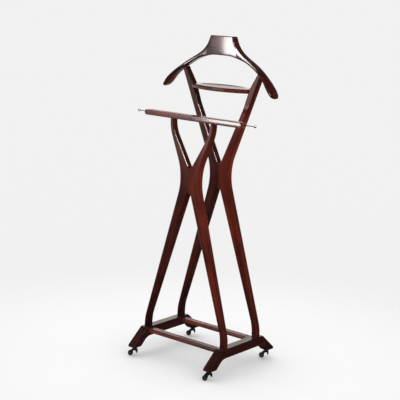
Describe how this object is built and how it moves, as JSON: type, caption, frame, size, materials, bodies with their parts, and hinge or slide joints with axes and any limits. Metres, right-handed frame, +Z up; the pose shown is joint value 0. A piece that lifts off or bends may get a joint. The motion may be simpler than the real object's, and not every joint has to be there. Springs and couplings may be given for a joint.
{
  "type": "valet stand",
  "caption": "Wooden valet stand: two crossed bentwood frames on arched feet with casters, a shaped suit hanger, a small tray, a trouser press bar with sliding tie pins and reeded shoe rails.",
  "frame": {"origin": "on the floor, under the middle of the stand", "axes": "+Z up, +X to the stand's right as seen from the trouser press side, -Y towards the trouser press side (front)"},
  "size_m": [0.5024, 0.3453, 1.09],
  "materials": {
    "mahogany_stain": "red-brown stained beech under glossy lacquer",
    "dark_stain": "nearly black-brown stained beech under glossy lacquer",
    "raw_dowel": "bare fluted beech",
    "steel": "bright zinc-plated",
    "pin_steel": "polished nickel",
    "brass": "aged satin brass",
    "black_metal": "worn black enamel",
    "wheel_rubber": "matt black hard rubber"
  },
  "bodies": {
    "frame": {"back_leg_left": "mahogany_stain", "back_leg_right": "mahogany_stain", "caster_socket_front_left": "brass", "caster_socket_front_right": "brass", "caster_socket_rear_left": "brass", "caster_socket_rear_right": "brass", "foot_rail_left": "dark_stain", "foot_rail_right": "dark_stain", "front_leg_left": "mahogany_stain", "front_leg_right": "mahogany_stain", "hanger": "mahogany_stain", "hanger_dowel_left": "raw_dowel", "hanger_dowel_right": "raw_dowel", "leg_screw_front_left": "steel", "leg_screw_front_right": "steel", "leg_screw_rear_left": "steel", "leg_screw_rear_right": "steel", "press_dowel_left": "raw_dowel", "press_dowel_right": "raw_dowel", "press_slat": "mahogany_stain", "press_spring_left": "steel", "press_spring_right": "steel", "shoe_rail_dowel_front_left": "raw_dowel", "shoe_rail_dowel_front_right": "raw_dowel", "shoe_rail_dowel_rear_left": "raw_dowel", "shoe_rail_dowel_rear_right": "raw_dowel", "shoe_rail_front": "mahogany_stain", "shoe_rail_rear": "mahogany_stain", "tie_pin_bush_left": "brass", "tie_pin_bush_right": "brass", "tray": "mahogany_stain", "tray_dowel_left": "raw_dowel", "tray_dowel_right": "raw_dowel"},
    "jaw": {"press_jaw": "mahogany_stain", "press_badge": "brass", "press_guide_left": "steel", "press_guide_right": "steel"},
    "pin_left": {"tie_pin_left": "pin_steel"},
    "pin_right": {"tie_pin_right": "pin_steel"},
    "swivel_front_left": {"caster_fork_front_left": "black_metal", "caster_axle_front_left": "steel"},
    "roller_front_left": {"caster_wheel_front_left": "wheel_rubber"},
    "swivel_front_right": {"caster_fork_front_right": "black_metal", "caster_axle_front_right": "steel"},
    "roller_front_right": {"caster_wheel_front_right": "wheel_rubber"},
    "swivel_rear_left": {"caster_fork_rear_left": "black_metal", "caster_axle_rear_left": "steel"},
    "roller_rear_left": {"caster_wheel_rear_left": "wheel_rubber"},
    "swivel_rear_right": {"caster_fork_rear_right": "black_metal", "caster_axle_rear_right": "steel"},
    "roller_rear_right": {"caster_wheel_rear_right": "wheel_rubber"}
  },
  "joints": [
    {"name": "jaw_slide", "type": "slide", "parent": "frame", "child": "jaw", "axis": [0, -1, 0], "range_m": [0, 0.006], "stiffness_N_per_m": 1200, "springref_m": -0.003, "deforming": ["press_spring_left", "press_spring_right"]},
    {"name": "tie_pin_slide_left", "type": "slide", "parent": "frame", "child": "pin_left", "axis": [-1, 0, 0], "range_m": [-0.035, 0.045]},
    {"name": "tie_pin_slide_right", "type": "slide", "parent": "frame", "child": "pin_right", "axis": [1, 0, 0], "range_m": [-0.035, 0.045]},
    {"name": "caster_swivel_front_left", "type": "hinge", "parent": "frame", "child": "swivel_front_left", "pos_m": [-0.166, -0.152, 0.03], "axis": [0, 0, 1], "continuous": true},
    {"name": "caster_roll_front_left", "type": "hinge", "parent": "swivel_front_left", "child": "roller_front_left", "pos_m": [-0.17957, -0.16048, 0.009], "axis": [0.5299, -0.848, 0], "continuous": true},
    {"name": "caster_swivel_front_right", "type": "hinge", "parent": "frame", "child": "swivel_front_right", "pos_m": [0.166, -0.152, 0.03], "axis": [0, 0, 1], "continuous": true},
    {"name": "caster_roll_front_right", "type": "hinge", "parent": "swivel_front_right", "child": "roller_front_right", "pos_m": [0.15874, -0.16626, 0.009], "axis": [0.891, -0.454, 0], "continuous": true},
    {"name": "caster_swivel_rear_left", "type": "hinge", "parent": "frame", "child": "swivel_rear_left", "pos_m": [-0.166, 0.152, 0.03], "axis": [0, 0, 1], "continuous": true},
    {"name": "caster_roll_rear_left", "type": "hinge", "parent": "swivel_rear_left", "child": "roller_rear_left", "pos_m": [-0.17878, 0.14237, 0.009], "axis": [0.6018, -0.7986, 0], "continuous": true},
    {"name": "caster_swivel_rear_right", "type": "hinge", "parent": "frame", "child": "swivel_rear_right", "pos_m": [0.166, 0.152, 0.03], "axis": [0, 0, 1], "continuous": true},
    {"name": "caster_roll_rear_right", "type": "hinge", "parent": "swivel_rear_right", "child": "roller_rear_right", "pos_m": [0.15289, 0.14282, 0.009], "axis": [0.5736, -0.8192, 0], "continuous": true}
  ]
}
